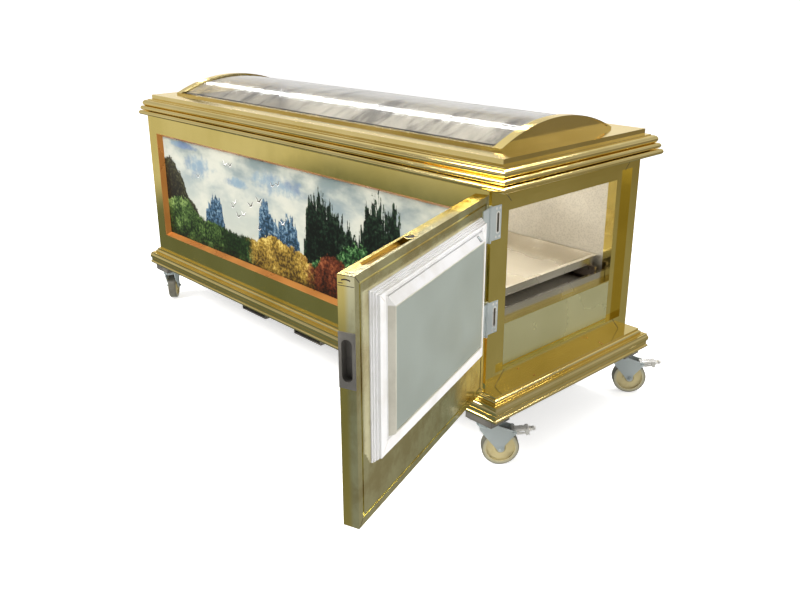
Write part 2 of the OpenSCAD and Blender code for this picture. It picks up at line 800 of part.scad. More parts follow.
base_moulding(0);  // base_front
base_moulding(1);  // base_door_end
base_moulding(2);  // base_back
base_moulding(3);  // base_foot_end
underframe();
long_wall(1);  // front_wall
long_wall(-1);  // back_wall
foot_wall();
door_frame();
low_end_panel();
liner();
sill_channel();
cornice(0);  // cornice_front
cornice(1);  // cornice_door_end
cornice(2);  // cornice_back
cornice(3);  // cornice_foot_end
top_deck();
pediment(1);  // pediment_door_end
pediment(-1);  // pediment_foot_end
clear_cover();
picture(1);  // picture_front
picture(-1);  // picture_back
trim(1);  // trim_front
trim(-1);  // trim_back
service_louvre();
power_inlet();
rail(-1);  // rail_left
rail(1);  // rail_right
hinge_fixed(hinge_z[0]);  // hinge_fixed_low
hinge_fixed(hinge_z[1]);  // hinge_fixed_high
door_shell();
door_gasket();
door_plug();
plug_panel();
flush_pull();
hinge_door(hinge_z[0]);  // hinge_door_low
hinge_door(hinge_z[1]);  // hinge_door_high
tray();
runner(-1);  // runner_left
runner(1);  // runner_right
for (i = [0 : 3]) {
    caster_mount(i);
    fork(i);
    wheel(i);
    pedal(i);
}
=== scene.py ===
"""The looks of a refrigerated funeral casket: gold sheet and mouldings, painted side panels, a clear
arched cover, an open end door with its seal, a sliding tray and braked casters. Lengths are in metres."""
import json
import math
import random

import bmesh
import bpy
from mathutils import Matrix, Vector


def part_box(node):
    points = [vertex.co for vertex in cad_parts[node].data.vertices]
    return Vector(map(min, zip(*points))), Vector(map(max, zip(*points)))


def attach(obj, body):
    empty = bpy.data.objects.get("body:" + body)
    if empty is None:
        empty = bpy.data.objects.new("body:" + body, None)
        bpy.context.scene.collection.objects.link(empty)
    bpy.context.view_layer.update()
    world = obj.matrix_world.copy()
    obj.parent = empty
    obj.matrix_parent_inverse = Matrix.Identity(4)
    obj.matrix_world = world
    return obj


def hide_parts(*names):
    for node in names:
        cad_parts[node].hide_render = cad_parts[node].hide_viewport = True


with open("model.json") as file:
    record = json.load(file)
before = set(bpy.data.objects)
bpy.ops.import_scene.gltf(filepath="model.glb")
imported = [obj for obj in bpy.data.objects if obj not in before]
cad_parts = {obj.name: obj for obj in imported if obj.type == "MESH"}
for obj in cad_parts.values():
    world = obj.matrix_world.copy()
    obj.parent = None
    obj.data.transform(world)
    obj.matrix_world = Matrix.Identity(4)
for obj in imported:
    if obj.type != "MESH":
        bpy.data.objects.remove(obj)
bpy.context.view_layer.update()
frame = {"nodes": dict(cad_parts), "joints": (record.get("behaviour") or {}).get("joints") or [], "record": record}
nodes = frame["nodes"]
joints = {j["name"]: j for j in frame["joints"]}
MM = 0.001


# ---- Node materials ----


class Value:
    """A number in a node tree. Sums, products and comparisons of these make Math nodes."""

    def __init__(self, tree, socket):
        self.tree, self.socket = tree, socket

    def math(self, operation, *others):
        node = self.tree.nodes.new("ShaderNodeMath")
        node.operation = operation
        for slot, value in zip(node.inputs, (self, *others)):
            join(self.tree, value, slot)
        return Value(self.tree, node.outputs[0])

    def __add__(self, other):
        return self.math("ADD", other)

    def __sub__(self, other):
        return self.math("SUBTRACT", other)

    def __mul__(self, other):
        return self.math("MULTIPLY", other)

    def __truediv__(self, other):
        return self.math("DIVIDE", other)

    def most(self, other):
        return self.math("MAXIMUM", other)

    def ramp(self, low, high, to_low=0.0, to_high=1.0):
        """Rises smoothly from to_low at low to to_high at high."""
        node = self.tree.nodes.new("ShaderNodeMapRange")
        node.interpolation_type = "SMOOTHSTEP"
        for slot, value in zip(node.inputs, (self, low, high, to_low, to_high)):
            join(self.tree, value, slot)
        return Value(self.tree, node.outputs[0])


def join(tree, value, slot):
    """Links a socket, or sets a plain number or colour."""
    if isinstance(value, Value):
        tree.links.new(value.socket, slot)
    elif isinstance(value, bpy.types.NodeSocket):
        tree.links.new(value, slot)
    elif isinstance(value, (tuple, list)) and len(slot.default_value) == 4:
        slot.default_value = (*value[:3], 1.0)
    else:
        slot.default_value = value


class Paint:
    """A material with one Principled shader, and short calls for the nodes that feed it."""

    def __init__(self, name, **sockets):
        self.material = bpy.data.materials.new(name)
        self.material.use_nodes = True
        self.tree = self.material.node_tree
        self.shader = self.tree.nodes["Principled BSDF"]
        for socket, value in sockets.items():
            self.set(socket.replace("_", " "), value)
        self.place = self.tree.nodes.new("ShaderNodeTexCoord").outputs["Object"]

    def set(self, socket, value):
        join(self.tree, value, self.shader.inputs[socket])

    def axes(self):
        """The place's x, y and z as numbers."""
        node = self.tree.nodes.new("ShaderNodeSeparateXYZ")
        self.tree.links.new(self.place, node.inputs[0])
        return [Value(self.tree, out) for out in node.outputs]

    def point(self, x, y, z):
        """A place made of three numbers."""
        node = self.tree.nodes.new("ShaderNodeCombineXYZ")
        for slot, value in zip(node.inputs, (x, y, z)):
            join(self.tree, value, slot)
        return node.outputs[0]

    def stretch(self, x, y, z):
        """The place, scaled on each axis."""
        node = self.tree.nodes.new("ShaderNodeMapping")
        self.tree.links.new(self.place, node.inputs["Vector"])
        node.inputs["Scale"].default_value = (x, y, z)
        return node.outputs[0]

    def noise(self, scale, detail=4.0, roughness=0.55, at=None, distortion=0.0):
        node = self.tree.nodes.new("ShaderNodeTexNoise")
        self.tree.links.new(self.place if at is None else at, node.inputs["Vector"])
        for name, value in (("Scale", scale), ("Detail", detail), ("Roughness", roughness),
                            ("Distortion", distortion)):
            join(self.tree, value, node.inputs[name])
        return Value(self.tree, node.outputs["Fac"])

    def cells(self, scale, at=None):
        node = self.tree.nodes.new("ShaderNodeTexVoronoi")
        self.tree.links.new(self.place if at is None else at, node.inputs["Vector"])
        node.inputs["Scale"].default_value = scale
        return Value(self.tree, node.outputs["Distance"])

    def curve(self, value, points):
        """A number read off a smooth curve through given points, over 0 to 1."""
        node = self.tree.nodes.new("ShaderNodeFloatCurve")
        line = node.mapping.curves[0]
        for x, y in points[1:-1]:
            line.points.new(x, y)
        line.points[0].location = points[0]
        line.points[-1].location = points[-1]
        node.mapping.update()
        join(self.tree, value, node.inputs["Value"])
        return Value(self.tree, node.outputs[0])

    def blend(self, factor, first, second):
        """A colour between two colours."""
        node = self.tree.nodes.new("ShaderNodeMix")
        node.data_type = "RGBA"
        join(self.tree, factor, node.inputs["Factor"])
        for slot, value in ((6, first), (7, second)):
            join(self.tree, value, node.inputs[slot])
        return node.outputs[2]

    def colours(self, value, *stops):
        """A colour read off a ramp of (place, colour) stops."""
        node = self.tree.nodes.new("ShaderNodeValToRGB")
        ramp = node.color_ramp
        while len(ramp.elements) < len(stops):
            ramp.elements.new(0.5)
        for element, (place, colour) in zip(ramp.elements, stops):
            element.position = place
            element.color = (*colour, 1.0)
        join(self.tree, value, node.inputs[0])
        return node.outputs[0]

    def bump(self, height, strength, distance):
        node = self.tree.nodes.new("ShaderNodeBump")
        join(self.tree, height, node.inputs["Height"])
        node.inputs["Strength"].default_value = strength
        node.inputs["Distance"].default_value = distance
        self.set("Normal", node.outputs[0])


def srgb(red, green, blue):
    """A colour written as display values from 0 to 255."""
    def linear(value):
        value /= 255
        return value / 12.92 if value <= 0.04045 else ((value + 0.055) / 1.055) ** 2.4
    return tuple(linear(v) for v in (red, green, blue))


def polished(name, light, dark, roughness, wave):
    """Polished coated sheet: slow changes of tone, wiping marks in the gloss and a slight waviness."""
    paint = Paint(name, Metallic=1.0, Specular_Tint=(1.0, 0.94, 0.78))
    tone = paint.noise(2.2, detail=4)
    marks = paint.noise(38, detail=6, roughness=0.65)
    smudges = paint.noise(7, detail=5, roughness=0.6)
    paint.set("Base Color", paint.blend(tone.ramp(0.35, 0.65), dark, light))
    gloss = marks.ramp(0.3, 0.7, -0.2, 0.2) + smudges.ramp(0.35, 0.75, -0.2, 0.5)
    paint.set("Roughness", gloss * roughness + roughness)
    paint.bump(paint.noise(3.5, detail=1), wave, 6 * MM)
    return paint.material


def brushed(name, light, dark, roughness, grain, metallic=1.0):
    """Brushed or plated metal with a fine grain along one axis and dull spots."""
    paint = Paint(name, Metallic=metallic)
    lines = paint.noise(120, detail=3, at=paint.stretch(*grain))
    patches = paint.noise(5, detail=1)
    mixed = lines.ramp(0.3, 0.7) * 0.08 + patches.ramp(0.3, 0.7) * 0.92
    paint.set("Base Color", paint.blend(mixed, dark, light))
    paint.set("Roughness", mixed.ramp(0.2, 0.8, roughness * 0.85, roughness * 1.2))
    paint.bump(paint.noise(3, detail=1), 0.05, 2 * MM)
    return paint.material


def moulded(name, light, dark, roughness, texture=220, relief=0.08):
    """Moulded plastic or paint: a fine grained skin with a little handling dirt."""
    paint = Paint(name)
    grain = paint.noise(texture, detail=2)
    dirt = paint.noise(9, detail=6, roughness=0.6)
    paint.set("Base Color", paint.blend(dirt.ramp(0.42, 0.72), light, dark))
    paint.set("Roughness", dirt.ramp(0.3, 0.7, roughness, roughness * 1.25))
    paint.bump(grain, relief, 0.3 * MM)
    return paint.material


def wheel_finish(i):
    """Nylon with painted shade toward its tread, a grey band and then a near-black edge, and darker round its hub.
    """
    spin = joints["wheel_spin_%d" % i]
    paint = Paint("nylon_%d" % i)
    parts = [place - centre for place, centre in zip(paint.axes(), spin["pos_m"])]
    along = parts[0] * spin["axis"][0] + parts[1] * spin["axis"][1]
    away = parts[0] * parts[0] + parts[1] * parts[1] + parts[2] * parts[2] - along * along
    dirt = paint.noise(14, detail=6, roughness=0.6)
    colour = paint.blend(dirt.ramp(0.42, 0.72), (0.62, 0.53, 0.27), (0.50, 0.41, 0.19))
    # Bands by distance from the axle: the grey band at 45 to 55 mm and the near-black edge at 56 to 61 mm are
    # painted shade; inside 16 to 20 mm the hub turns darker.
    for near, far, most, darker_tone in ((45, 55, 0.8, (0.36, 0.35, 0.26)), (56, 61, 0.9, (0.11, 0.105, 0.085)),
                                   (20, 16, 0.6, (0.20, 0.17, 0.09))):
        cover = away.ramp((near * MM) ** 2, (far * MM) ** 2, 0.0, most)
        colour = paint.blend(cover, colour, darker_tone)
    paint.set("Base Color", colour)
    paint.set("Roughness", dirt.ramp(0.3, 0.7, 0.34, 0.46))
    paint.bump(paint.noise(220, detail=2), 0.08, 0.3 * MM)
    return paint.material


def speckled_steel():
    """The liner's stucco-embossed steel: small bright and dark flecks."""
    paint = Paint("speckled_steel", Metallic=0.3)
    fleck = paint.cells(160)
    patches = paint.noise(6, detail=5)
    mixed = fleck.ramp(0.1, 0.7) * 0.55 + patches.ramp(0.3, 0.7) * 0.45
    paint.set("Base Color", paint.blend(mixed, srgb(176, 168, 150), srgb(208, 200, 182)))
    paint.set("Roughness", patches.ramp(0.3, 0.7, 0.32, 0.48))
    paint.bump(fleck, 0.12, 0.4 * MM)
    return paint.material


def clear_sheet():
    """Clear acrylic under a thin film: soft creases that run across it, faint long ripples, and dark grey bands in
    its tint that follow the creases: painted reflections of dark beams overhead.
    """
    paint = Paint("clear_sheet", Roughness=0.04, IOR=1.49, Transmission_Weight=1.0)
    crease_and_reflection_band = paint.noise(2.6, detail=4, roughness=0.6, at=paint.stretch(3.2, 0.9, 0.9), distortion=0.6)
    ripple = paint.noise(4.0, detail=3, at=paint.stretch(0.5, 5.0, 5.0))
    # Painted reflection: the tint runs from dark grey to clear with the crease noise, standing for dark beams
    # overhead seen in the sheet.
    paint.set("Base Color", paint.colours(crease_and_reflection_band, (0.36, (0.38, 0.39, 0.41)), (0.47, (0.82, 0.85, 0.89)),
                                          (0.58, (0.94, 0.97, 1.0))))
    paint.bump(crease_and_reflection_band * 0.7 + ripple * 0.3, 0.16, 5 * MM)
    return paint.material


GOLD_LIGHT, GOLD_DARK = (0.92, 0.755, 0.35), (0.83, 0.67, 0.27)
SHEET_LIGHT, SHEET_DARK = (0.90, 0.745, 0.27), (0.80, 0.655, 0.21)
gold_moulding = polished("gold_moulding", GOLD_LIGHT, GOLD_DARK, 0.10, 0.10)
gold_panel = polished("gold_panel", SHEET_LIGHT, SHEET_DARK, 0.11, 0.14)
# The pocket's ramp: the gold sheet darkened to brown, painted shade inside the recess.
pocket_shaded_gold = brushed("pocket_shaded_gold", (0.46, 0.29, 0.09), (0.36, 0.21, 0.06), 0.34, (1, 1, 1), 0.6)
copper_trim = brushed("copper_trim", (0.60, 0.255, 0.055), (0.49, 0.19, 0.04), 0.32, (1, 1, 1), 0.55)
end_sheet = brushed("end_sheet", (0.58, 0.56, 0.32), (0.50, 0.48, 0.26), 0.26, (1, 1, 1), 0.6)
green_sheet = brushed("green_sheet", (0.36, 0.405, 0.37), (0.33, 0.37, 0.335), 0.42, (1, 1, 0.2), 0.2)
tray_steel = brushed("tray_steel", (0.86, 0.82, 0.74), (0.70, 0.66, 0.58), 0.24, (0.03, 1, 1))
rail_steel = brushed("rail_steel", (0.85, 0.74, 0.70), (0.68, 0.58, 0.54), 0.26, (0.03, 1, 1))
zinc_plate = brushed("zinc_plate", (0.56, 0.62, 0.63), (0.44, 0.49, 0.50), 0.34, (1, 1, 1), 0.45)
pedal_metal = brushed("pedal_metal", (0.84, 0.83, 0.80), (0.70, 0.69, 0.66), 0.28, (1, 1, 0.3), 0.5)
dark_steel = moulded("dark_steel", (0.085, 0.08, 0.072), (0.15, 0.14, 0.12), 0.42)
white_seal = moulded("white_seal", (0.86, 0.86, 0.87), (0.76, 0.75, 0.73), 0.42)
cream_plastic = moulded("cream_plastic", (0.66, 0.62, 0.53), (0.56, 0.52, 0.43), 0.45)
black_plastic = moulded("black_plastic", (0.02, 0.02, 0.02), (0.05, 0.05, 0.05), 0.5)
seam_dark = moulded("seam_dark", (0.030, 0.022, 0.012), (0.06, 0.045, 0.025), 0.6)
liner_steel = speckled_steel()
acrylic = clear_sheet()

BY_SLOT = {
    "gold_moulding": gold_moulding, "gold_panel": gold_panel, "copper_trim": copper_trim,
    "green_sheet": green_sheet, "stainless": tray_steel, "dark_steel": dark_steel,
    "zinc": zinc_plate, "pedal_metal": pedal_metal, "clear_acrylic": acrylic,
    "white_seal": white_seal, "cream_plastic": cream_plastic, "black_plastic": black_plastic,
}


# ---- The door's own frame ----

hinge = joints["door_hinge"]
hinge_at = Vector(hinge["pos_m"])
swing = Matrix.Translation(hinge_at) @ \
    Matrix.Rotation(math.radians(hinge["range_deg"][0]), 4, "Z") @ Matrix.Translation(-hinge_at)


def shut_box(name):
    """A door part's corners in millimetres, with the door turned shut."""
    inverse = swing.inverted()
    points = [inverse @ vertex.co for vertex in nodes[name].data.vertices]
    low = Vector([min(p[i] for p in points) for i in range(3)]) / MM
    high = Vector([max(p[i] for p in points) for i in range(3)]) / MM
    return low, high


def door_finish():
    """Gold sheet outside, and inside a paler sheet that is clouded by wear."""
    paint = Paint("door_sheet", Metallic=1.0, Specular_Tint=(1.0, 0.94, 0.78))
    through = swing.to_3x3() @ Vector((1, 0, 0))
    inner = through.dot(swing @ Vector((shut_box("door_shell")[0].x * MM, 0, 0)))
    x, y, _ = paint.axes()
    outside = (x * through.x + y * through.y - inner).ramp(12 * MM, 30 * MM)
    cloud = paint.noise(7, detail=6, roughness=0.65)
    wiped = paint.noise(30, detail=5, at=paint.stretch(1, 1, 0.25))
    worn = paint.blend(cloud.ramp(0.38, 0.62), (0.70, 0.62, 0.36), (0.90, 0.87, 0.58))
    clean = paint.blend(paint.noise(2.2, detail=3).ramp(0.35, 0.65), SHEET_DARK, SHEET_LIGHT)
    paint.set("Base Color", paint.blend(outside, worn, clean))
    paint.set("Roughness", wiped.ramp(0.3, 0.7, 0.10, 0.19) + cloud.ramp(0.35, 0.65, 0.05, 0.0))
    paint.bump(paint.noise(3.5, detail=1), 0.14, 6 * MM)
    return paint.material


# ---- The painted landscape ----


def landscape(name, flip):
    """A generic painted wood under a cloudy sky, in layers from the sky forwards. flip is -1 where
    the picture's left end is at +X."""
    low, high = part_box("picture_front")
    wide, tall = high.x - low.x, high.z - low.z
    paint = Paint(name, Roughness=0.45, Specular_IOR_Level=0.25, Coat_Weight=0.15,
                  Coat_Roughness=0.05)
    x, _, z = paint.axes()
    u = (x * flip - low.x) / wide
    v = (z - low.z) / tall
    flat = paint.point(x * flip, 0.0, z)
    brush = paint.noise(26, detail=6, roughness=0.6, at=flat)
    leaves = paint.noise(70, detail=5, roughness=0.65, at=flat)
    clumps = paint.cells(34, at=flat)
    crowns = paint.cells(13, at=flat)
    stroke = brush - 0.5
    ragged = stroke * 0.16 + (leaves - 0.5) * 0.14

    billow = paint.noise(5.0, detail=5, roughness=0.55, at=paint.point(x * (flip * 0.55), 0.0, z))
    haze = paint.noise(11, detail=4, at=paint.point(x * (flip * 0.4), 0.3, z))
    sky = paint.colours(v, (0.0, srgb(172, 175, 163)), (0.45, srgb(164, 170, 162)),
                        (0.72, srgb(128, 142, 146)), (1.0, srgb(106, 120, 118)))
    cloud = (billow + haze * 0.35).ramp(0.55, 0.80)
    sky = paint.blend(cloud * 0.85, sky, srgb(192, 192, 178))
    patch = None
    for middle, height, half_wide, half_tall in ((0.17, 0.77, 0.075, 0.11), (0.30, 0.72, 0.05, 0.045),
                                                 (0.46, 0.79, 0.085, 0.10), (0.10, 0.93, 0.06, 0.03)):
        across, up = (u - middle) / half_wide, (v - height) / half_tall
        away = across * across + up * up
        here = (away + stroke * 2.6 + (billow - 0.5) * 5.0).ramp(1.3, 0.0)
        patch = here if patch is None else patch.most(here)
    blue = paint.blend(haze.ramp(0.35, 0.65), srgb(86, 106, 140), srgb(112, 138, 156))
    colour = paint.blend(patch * 0.85, sky, blue)
    spires = paint.noise(46, detail=3, roughness=0.7, at=paint.point(x * flip, 0.0, z * 0.12)) - 0.5

    def layer(colour, skyline, shades, edge=1.0, spire=0.0):
        """Paints over everything under a ragged skyline."""
        top = paint.curve(u, skyline) + spires * spire
        cover = (top + ragged * edge - v).ramp(0.0, 0.02)
        deep = (top - v).ramp(0.0, 0.35)
        shade = leaves.ramp(0.32, 0.68) * 0.75 + clumps.ramp(0.0, 0.8, 0.25, 0.0)
        tint = paint.colours(shade - deep * 0.28, *shades)
        return paint.blend(cover, colour, tint)

    colour = layer(colour, ((0, 0), (0.14, 0.02), (0.175, 0.34), (0.20, 0.50), (0.225, 0.54),
                            (0.25, 0.40), (0.275, 0.05), (0.36, 0.02), (0.385, 0.42), (0.415, 0.64),
                            (0.44, 0.50), (0.47, 0.55), (0.50, 0.56), (0.525, 0.3), (0.55, 0.05), (1, 0.0)),
                   ((0.15, srgb(22, 44, 58)), (0.45, srgb(52, 84, 112)), (0.75, srgb(112, 138, 152))),
                   1.2, 0.35)
    colour = layer(colour, ((0, 0.76), (0.03, 0.80), (0.06, 0.72), (0.085, 0.62), (0.105, 0.46),
                            (0.13, 0.40), (0.15, 0.30), (0.17, 0.05), (0.3, 0), (1, 0)),
                   ((0.15, srgb(16, 14, 8)), (0.5, srgb(44, 42, 24)), (0.85, srgb(82, 84, 54))), 0.7)
    colour = layer(colour, ((0, 0), (0.5, 0), (0.53, 0.22), (0.55, 0.62), (0.57, 0.82), (0.60, 0.80),
                            (0.63, 0.72), (0.66, 0.62), (0.70, 0.58), (0.72, 0.82), (0.75, 0.86),
                            (0.775, 0.80), (0.80, 0.84), (0.82, 0.60), (0.87, 0.66), (0.93, 0.5), (1, 0.62)),
                   ((0.2, srgb(3, 8, 4)), (0.55, srgb(18, 38, 24)), (0.9, srgb(56, 76, 54))), 1.3, 0.75)
    colour = layer(colour, ((0, 0.2), (0.5, 0.16), (0.58, 0.30), (0.64, 0.38), (0.67, 0.50),
                            (0.71, 0.52), (0.75, 0.40), (0.80, 0.46), (0.86, 0.38), (0.92, 0.42), (1, 0.34)),
                   ((0.15, srgb(5, 20, 6)), (0.5, srgb(34, 76, 34)), (0.85, srgb(106, 148, 92))), 1.0)
    skyline = paint.curve(u, ((0, 0.34), (0.05, 0.42), (0.09, 0.44), (0.13, 0.34), (0.17, 0.30), (0.24, 0.29),
                              (0.30, 0.27), (0.36, 0.28), (0.40, 0.33), (0.44, 0.37), (0.48, 0.33),
                              (0.53, 0.31),
                              (0.57, 0.24), (0.60, 0.36), (0.64, 0.37), (0.68, 0.28), (0.8, 0.3), (1, 0.3)))
    cover = (skyline + ragged * 0.8 - v).ramp(0.0, 0.02)
    shade = leaves.ramp(0.3, 0.7) * 0.6 + crowns.ramp(0.0, 0.75, 0.4, 0.0)
    shade = shade - (skyline - v).ramp(0.0, 0.45) * 0.25
    turn = u + stroke * 0.10
    green = paint.colours(shade, (0.1, srgb(8, 22, 5)), (0.45, srgb(58, 84, 34)), (0.85, srgb(134, 158, 88)))
    murky = paint.colours(shade, (0.1, srgb(8, 14, 4)), (0.5, srgb(26, 52, 18)), (0.9, srgb(92, 124, 66)))
    yellow = paint.colours(shade, (0.1, srgb(58, 42, 8)), (0.5, srgb(146, 116, 36)),
                           (0.85, srgb(206, 182, 96)))
    red = paint.colours(shade, (0.1, srgb(24, 8, 3)), (0.5, srgb(92, 38, 12)), (0.9, srgb(156, 88, 48)))
    bush = paint.blend(turn.ramp(0.20, 0.27), green, murky)
    bush = paint.blend(turn.ramp(0.34, 0.37), bush, yellow)
    bush = paint.blend(turn.ramp(0.53, 0.57), bush, red)
    bush = paint.blend(turn.ramp(0.66, 0.70), bush, murky)
    colour = paint.blend(cover, colour, bush)
    foot = (v + stroke * 0.12).ramp(0.09, 0.0)
    colour = paint.blend(foot * 0.7, colour, srgb(8, 14, 5))
    paint.set("Base Color", colour)
    paint.bump(brush, 0.04, 0.3 * MM)
    return paint.material


# ---- Finishes of the CAD nodes ----


def finish_nodes():
    """Gives every CAD node the material of its slot, and a few their own."""
    slots = {row["node"]: row["material_slot"] for row in frame["record"]["subparts"]}
    own = {
        "liner": liner_steel, "low_end_panel": end_sheet,
        "door_shell": door_finish(), "rail_left": rail_steel, "rail_right": rail_steel,
        "picture_front": landscape("landscape_front", 1), "picture_back": landscape("landscape_back", -1),
    }
    own.update({"wheel_%d" % i: wheel_finish(i) for i in range(4)})
    for name, node in nodes.items():
        node.data.materials.clear()
        node.data.materials.append(own.get(name) or BY_SLOT[slots[name]])
    for name in ("door_shell", "door_frame", "front_wall", "back_wall", "foot_wall", "top_deck",
                 "sill_channel", "flush_pull", "pediment_door_end", "pediment_foot_end", "tray"):
        soften(nodes[name], 0.9)
    nodes["clear_cover"].visible_shadow = False


def soften(part, width):
    """Rounds a part's sharp edges by a width in millimetres."""
    edge = part.modifiers.new("edge", "BEVEL")
    edge.width, edge.segments = width * MM, 2
    edge.limit_method, edge.angle_limit = "ANGLE", math.radians(40)
    edge.harden_normals = True


# ---- Mesh pieces ----


class Shape:
    """A mesh built from rings of points, all in millimetres, moved by a matrix in metres."""

    def __init__(self, place=None):
        self.mesh = bmesh.new()
        self.place = place or Matrix.Identity(4)

    def rings(self, rings, closed=False, place=None):
        """Joins each ring of points to the next. A closed run joins its last ring to its first."""
        place = self.place @ (place or Matrix.Identity(4))
        rows = [[self.mesh.verts.new(place @ (Vector(point) * MM)) for point in ring] for ring in rings]
        pairs = list(zip(rows, rows[1:] + rows[:1])) if closed else list(zip(rows, rows[1:]))
        for near, far in pairs:
            for i in range(len(near)):
                j = (i + 1) % len(near)
                self.mesh.faces.new((near[i], near[j], far[j], far[i]))
        if not closed:
            self.mesh.faces.new(rows[0])
            self.mesh.faces.new(rows[-1])
        return self

    def lathe(self, profile, place=None, sides=32):
        """Turns (radius, height) pairs round the Z axis."""
        turns = [2 * math.pi * i / sides for i in range(sides)]
        return self.rings([[(r * math.cos(a), r * math.sin(a), h) for a in turns] for r, h in profile],
                          place=place)

    def prism(self, outline, low, high, place=None, edge=0.0):
        """Raises a flat (x, y) outline from low to high, with a small chamfer at the top."""
        middle = Vector((sum(p[0] for p in outline), sum(p[1] for p in outline))) / len(outline)
        inner = []
        for point in outline:
            away = Vector(point) - middle
            inner.append(tuple(middle + away * max(0.0, 1 - edge / away.length)))
        steps = [(outline, low), (outline, high - edge), (inner, high)] if edge else \
            [(outline, low), (outline, high)]
        return self.rings([[(x, y, z) for x, y in flat] for flat, z in steps], place=place)

    def make(self, name, material, body, slot, bevel=0.0):
        """Turns the shape into a piece that rides on a body."""
        bmesh.ops.recalc_face_normals(self.mesh, faces=self.mesh.faces)
        data = bpy.data.meshes.new(name)
        self.mesh.to_mesh(data)
        self.mesh.free()
        data.materials.append(material)
        data.shade_smooth()
        data.set_sharp_from_angle(angle=math.radians(35))
        made = bpy.data.objects.new(name, data)
        bpy.context.scene.collection.objects.link(made)
        if bevel:
            soften(made, bevel)
        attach(made, body)
        return made


def hexagon(across):
    """A nut's outline of that distance across its flats."""
    return [(across / math.sqrt(3) * math.cos(math.radians(60 * i)),
             across / math.sqrt(3) * math.sin(math.radians(60 * i))) for i in range(6)]


def slotted(length, width, steps=8):
    """A long hole's outline, along X."""
    reach, r = (length - width) / 2, width / 2
    ends = []
    for side, start in ((1, -90), (-1, 90)):
        for i in range(steps + 1):
            a = math.radians(start + 180 * i / steps)
            ends.append((side * reach + r * math.cos(a), r * math.sin(a)))
    return ends


def facing(place, normal, along=(0, 0, 1)):
    """A frame at a place in millimetres whose Z is the normal and whose X is along."""
    up = Vector(normal).normalized()
    side = Vector(along).normalized()
    side = (side - up * side.dot(up)).normalized()
    turned = Matrix((side, up.cross(side), up)).transposed().to_4x4()
    return Matrix.Translation(Vector(place) * MM) @ turned


def upright(x, low_y, high_y, low_z, high_z):
    """A rectangle that stands across X."""
    return [(x, low_y, low_z), (x, high_y, low_z), (x, high_y, high_z), (x, low_y, high_z)]


def add_door_seal():
    """The stepped white gasket with its thin flange and groove."""
    low, high = shut_box("door_gasket")
    plug_low, plug_high = shut_box("door_plug")
    back = high.x
    steps = []
    for inset, depth in ((0, 0), (0, 4), (3, 5), (3, 9), (7, 10), (7, 15), (11, 16), (11, 23), (12, 24)):
        steps.append(upright(back - depth, low.y + inset, high.y - inset, low.z + inset, high.z - inset))
    for out, depth in ((12, 24), (11, 21.5), (8, 21.5), (7, 24), (5, 24), (5, 0)):
        steps.append(upright(back - depth, plug_low.y - out, plug_high.y + out,
                             plug_low.z - out - 2, plug_high.z + out))
    seal = Shape(swing).rings(steps, closed=True).make("seal", white_seal, "door_leaf", "white_seal", 0.5)
    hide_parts("door_gasket")
    mitres = Shape(swing)
    for y, z, side, rise in ((low.y, low.z, 1, 1), (high.y, low.z, -1, 1), (high.y, high.z, -1, -1),
                             (low.y, high.z, 1, -1)):
        reach = 34 if rise > 0 else 20
        line = facing((back - 24, y + side * (13 + reach / 2), z + rise * (13 + reach / 2)),
                      (-1, 0, 0), (0, side, rise))
        mitres.prism([(-reach * 0.68, -0.7), (reach * 0.68, -0.7), (reach * 0.68, 0.7), (-reach * 0.68, 0.7)],
                     -0.3, 0.15, line)
    mitres.make("seal_mitres", cream_plastic, "door_leaf", "cream_plastic")


def plug_finish(top):
    """Cream plastic, with its sloping top side painted as white as the seal: painted light, as if the top caught
    more light from above.
    """
    paint = Paint("plug_plastic")
    dirt = paint.noise(9, detail=6, roughness=0.6)
    cream = paint.blend(dirt.ramp(0.42, 0.72), (0.58, 0.56, 0.47), (0.48, 0.46, 0.38))
    white = paint.blend(dirt.ramp(0.42, 0.72), (0.86, 0.86, 0.87), (0.76, 0.75, 0.73))
    # Painted light: the plug's top 24 mm turn from cream to white by height, standing for light falling from
    # above.
    paint.set("Base Color", paint.blend(paint.axes()[2].ramp(top - 24 * MM, top - 19 * MM), cream, white))
    paint.set("Roughness", dirt.ramp(0.3, 0.7, 0.42, 0.52))
    paint.bump(paint.noise(220, detail=2), 0.08, 0.3 * MM)
    return paint.material


def add_door_plug():
    """The cream plug with its sloping sides, a raised rim and the grey-green panel."""
    low, high = shut_box("door_plug")
    front = low.x

    def ring(x, hinge_side, free_side, bottom, top):
        return upright(x, low.y + hinge_side, high.y - free_side, low.z + bottom, high.z - top)

    body = Shape(swing).rings([ring(high.x, -4, -4, -8, 0), ring(front + 17, -4, -4, -8, 0),
                               ring(front + 15, -2, -2, -6, 2), ring(front + 2, 8, 2, 0, 18),
                               ring(front, 10, 4, 2, 20), ring(front, 15, 8, 6, 25),
                               ring(front + 2.5, 16, 9, 7, 26)])
    plug = body.make("plug", plug_finish(high.z * MM), "door_leaf", "cream_plastic")
    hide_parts("door_plug")
    sheet = Shape(swing).rings([ring(front + 2.5, 16, 9, 7, 26), ring(front + 1.2, 17, 10, 8, 27),
                                ring(front + 1.0, 20, 13, 11, 30)])
    panel = sheet.make("plug_sheet", green_sheet, "door_leaf", "green_sheet")
    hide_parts("plug_panel")
    clip = facing((front + 8, low.y + 34, high.z - 10), (-1, 0, 0.9))
    parts = Shape(swing)
    parts.rings([[(x * k, y * k2, h) for x, y in ((-8, -5), (8, -5), (8, 5), (-8, 5))]
                 for k, k2, h in ((1, 1, -0.5), (1, 1, 1.2), (0.9, 0.7, 1.6))], place=clip)
    parts.make("plug_clip", zinc_plate, "door_leaf", "zinc")
    line = Shape(swing)
    line.prism([(-9.5, -6.5), (9.5, -6.5), (9.5, 6.5), (-9.5, 6.5)], -0.6, 0.3, clip)
    line.make("plug_clip_gap", seam_dark, "door_leaf", "black_plastic")


# The pocket in the door's top edge, along the door and in millimetres
POCKET_FROM_HINGE = 482
POCKET_LENGTH = 267


